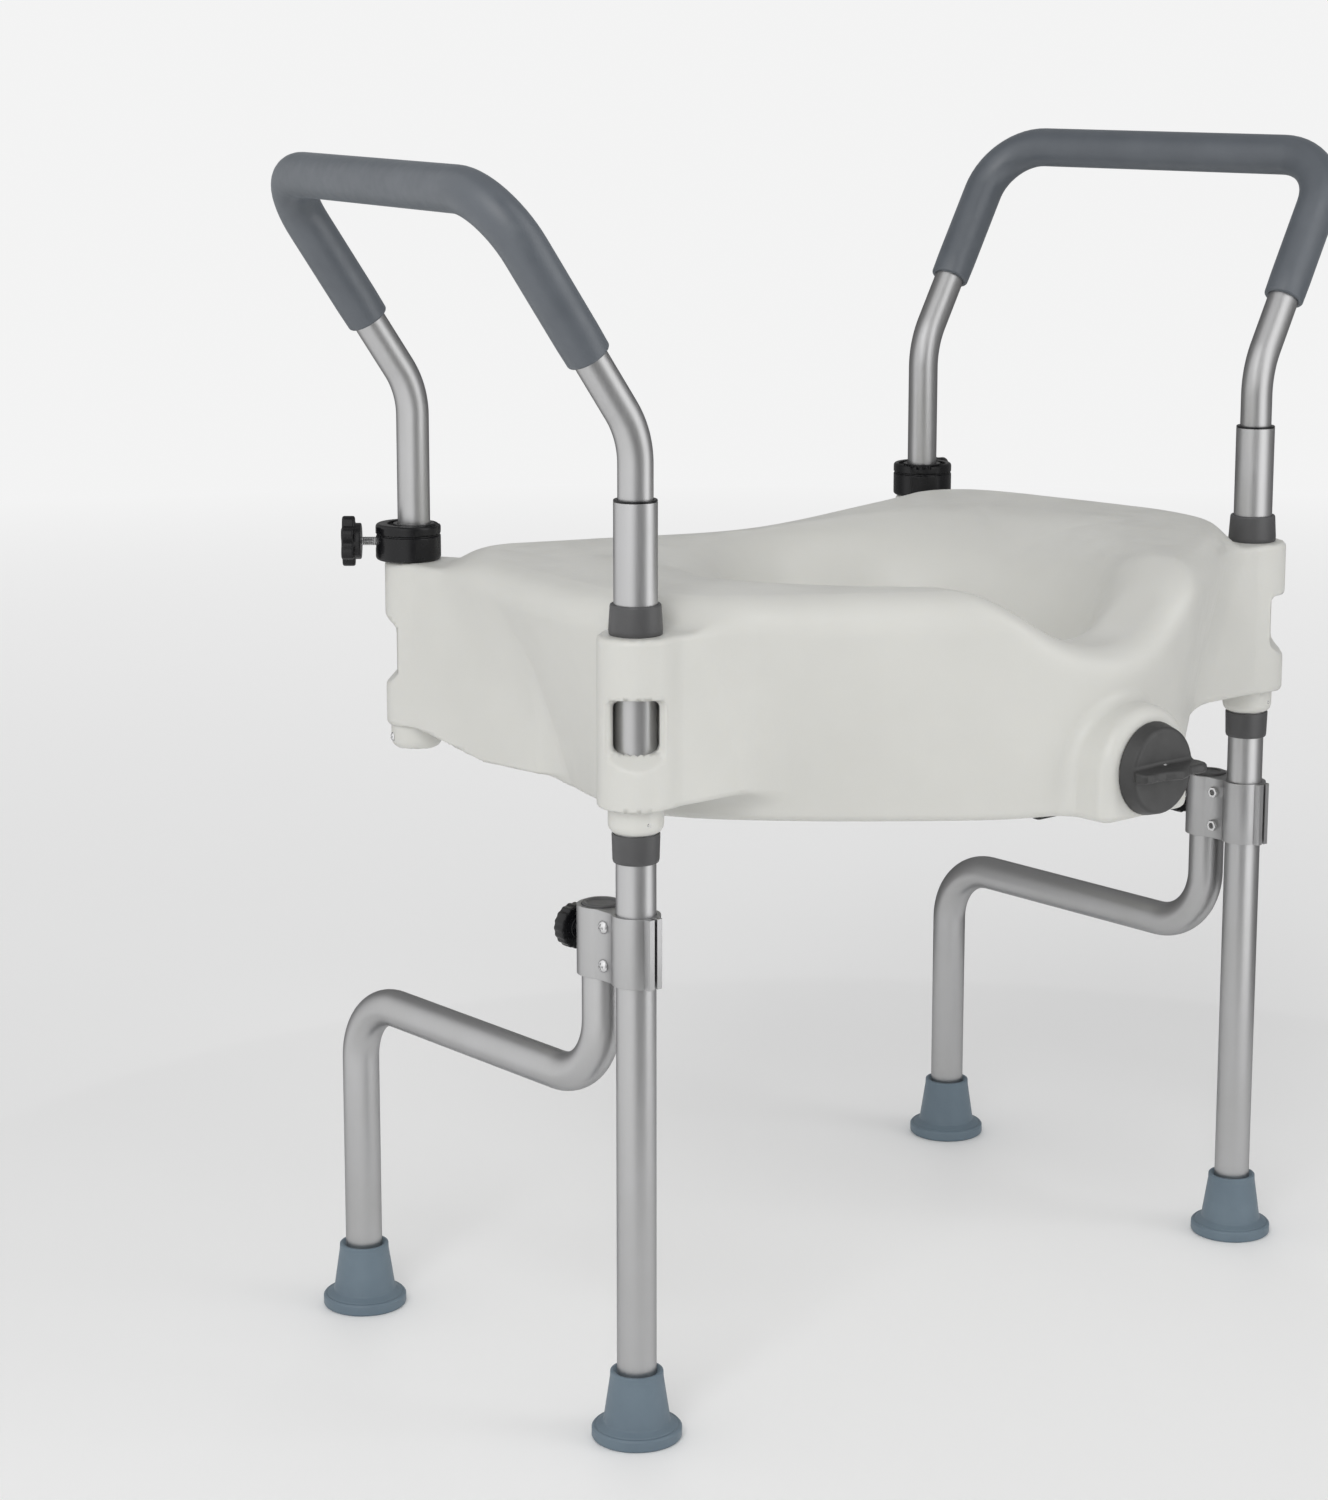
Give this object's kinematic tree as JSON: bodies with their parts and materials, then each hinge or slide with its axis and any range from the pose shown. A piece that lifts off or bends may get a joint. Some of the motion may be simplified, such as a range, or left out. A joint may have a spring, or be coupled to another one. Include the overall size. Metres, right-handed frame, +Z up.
{
  "type": "raised toilet seat",
  "caption": "Raised toilet seat: a dished hollow ring with a front clamp dial, sliding legs with rubber feet, and leaning padded handles locked by star knobs.",
  "frame": {"origin": "on the floor, under the middle of the object's box", "axes": "+X to the right seen from the front, -Y to the front of the toilet, +Z up"},
  "size_m": [0.7896, 0.5282, 0.8076],
  "materials": {
    "shell_plastic": "satin blow-moulded polyethylene",
    "tube": "satin anodised",
    "bracket": "satin anodised extrusion",
    "foam": "smooth blue-grey foam",
    "foot_rubber": "moulded, matt",
    "dark_plastic": "fine texture",
    "black_plastic": "semi-gloss",
    "screw_steel": "bright plated",
    "pad_rubber": "matt"
  },
  "bodies": {
    "seat": {"seat_shell": "shell_plastic", "rim_pads": "pad_rubber", "front_post_left": "tube", "post_bush_left": "black_plastic", "upper_collar_left": "dark_plastic", "lower_collar_left": "dark_plastic", "leg_lock_screw_left": "screw_steel", "rear_clamp_left": "black_plastic", "rear_guide_left": "shell_plastic", "rear_guide_screw_left": "screw_steel", "front_post_right": "tube", "post_bush_right": "black_plastic", "upper_collar_right": "dark_plastic", "lower_collar_right": "dark_plastic", "leg_lock_screw_right": "screw_steel", "rear_clamp_right": "black_plastic", "rear_guide_right": "shell_plastic", "rear_guide_screw_right": "screw_steel"},
    "dial": {"clamp_dial": "dark_plastic", "clamp_spindle": "screw_steel", "spindle_clip": "screw_steel"},
    "jaw": {"clamp_jaw": "black_plastic", "jaw_pad": "pad_rubber"},
    "handle_left": {"handle_tube_left": "tube", "handle_grip_left": "foam"},
    "leg_left": {"front_leg_left": "tube", "front_foot_left": "foot_rubber", "leg_bracket_left": "bracket", "bracket_screws_left": "screw_steel", "bracket_nuts_left": "screw_steel"},
    "rear_leg_left": {"rear_leg_left": "tube", "rear_leg_plug_left": "dark_plastic", "rear_foot_left": "foot_rubber"},
    "leg_knob_left": {"leg_knob_left": "black_plastic", "leg_knob_bolt_left": "screw_steel"},
    "star_knob_left": {"star_knob_left": "black_plastic", "star_knob_bolt_left": "screw_steel"},
    "handle_right": {"handle_tube_right": "tube", "handle_grip_right": "foam"},
    "leg_right": {"front_leg_right": "tube", "front_foot_right": "foot_rubber", "leg_bracket_right": "bracket", "bracket_screws_right": "screw_steel", "bracket_nuts_right": "screw_steel"},
    "rear_leg_right": {"rear_leg_right": "tube", "rear_leg_plug_right": "dark_plastic", "rear_foot_right": "foot_rubber"},
    "leg_knob_right": {"leg_knob_right": "black_plastic", "leg_knob_bolt_right": "screw_steel"},
    "star_knob_right": {"star_knob_right": "black_plastic", "star_knob_bolt_right": "screw_steel"}
  },
  "joints": [
    {"name": "dial_turn", "type": "hinge", "parent": "seat", "child": "dial", "pos_m": [0, -0.2358, 0.424], "axis": [0, -1, 0], "range_deg": [0, 2160]},
    {"name": "jaw_slide", "type": "slide", "parent": "seat", "child": "jaw", "axis": [0, -1, 0], "range_m": [0, 0.018]},
    {"name": "handle_height_left", "type": "slide", "parent": "seat", "child": "handle_left", "axis": [0, 0, 1], "range_m": [-0.015, 0.03]},
    {"name": "leg_height_left", "type": "slide", "parent": "seat", "child": "leg_left", "axis": [0, 0, -1], "range_m": [-0.025, 0.045]},
    {"name": "rear_leg_height_left", "type": "slide", "parent": "leg_left", "child": "rear_leg_left", "axis": [0, 0, -1], "range_m": [-0.025, 0.015]},
    {"name": "leg_knob_turn_left", "type": "hinge", "parent": "leg_left", "child": "leg_knob_left", "pos_m": [-0.289, -0.0178, 0.325], "axis": [0, 1, 0], "range_deg": [-720, 0]},
    {"name": "star_knob_turn_left", "type": "hinge", "parent": "seat", "child": "star_knob_left", "pos_m": [-0.27098, 0.24286, 0.5405], "axis": [-0.7771, 0.6293, 0], "range_deg": [-720, 0]},
    {"name": "handle_height_right", "type": "slide", "parent": "seat", "child": "handle_right", "axis": [0, 0, 1], "range_m": [-0.015, 0.03]},
    {"name": "leg_height_right", "type": "slide", "parent": "seat", "child": "leg_right", "axis": [0, 0, -1], "range_m": [-0.025, 0.045]},
    {"name": "rear_leg_height_right", "type": "slide", "parent": "leg_right", "child": "rear_leg_right", "axis": [0, 0, -1], "range_m": [-0.025, 0.015]},
    {"name": "leg_knob_turn_right", "type": "hinge", "parent": "leg_right", "child": "leg_knob_right", "pos_m": [0.289, -0.0178, 0.325], "axis": [0, 1, 0], "range_deg": [-720, 0]},
    {"name": "star_knob_turn_right", "type": "hinge", "parent": "seat", "child": "star_knob_right", "pos_m": [0.27098, 0.24286, 0.5405], "axis": [0.7771, 0.6293, 0], "range_deg": [-720, 0]}
  ],
  "couplings": [
    {"joint": "jaw_slide", "follows": "dial_turn", "m_per_rad": 0.00047746}
  ]
}
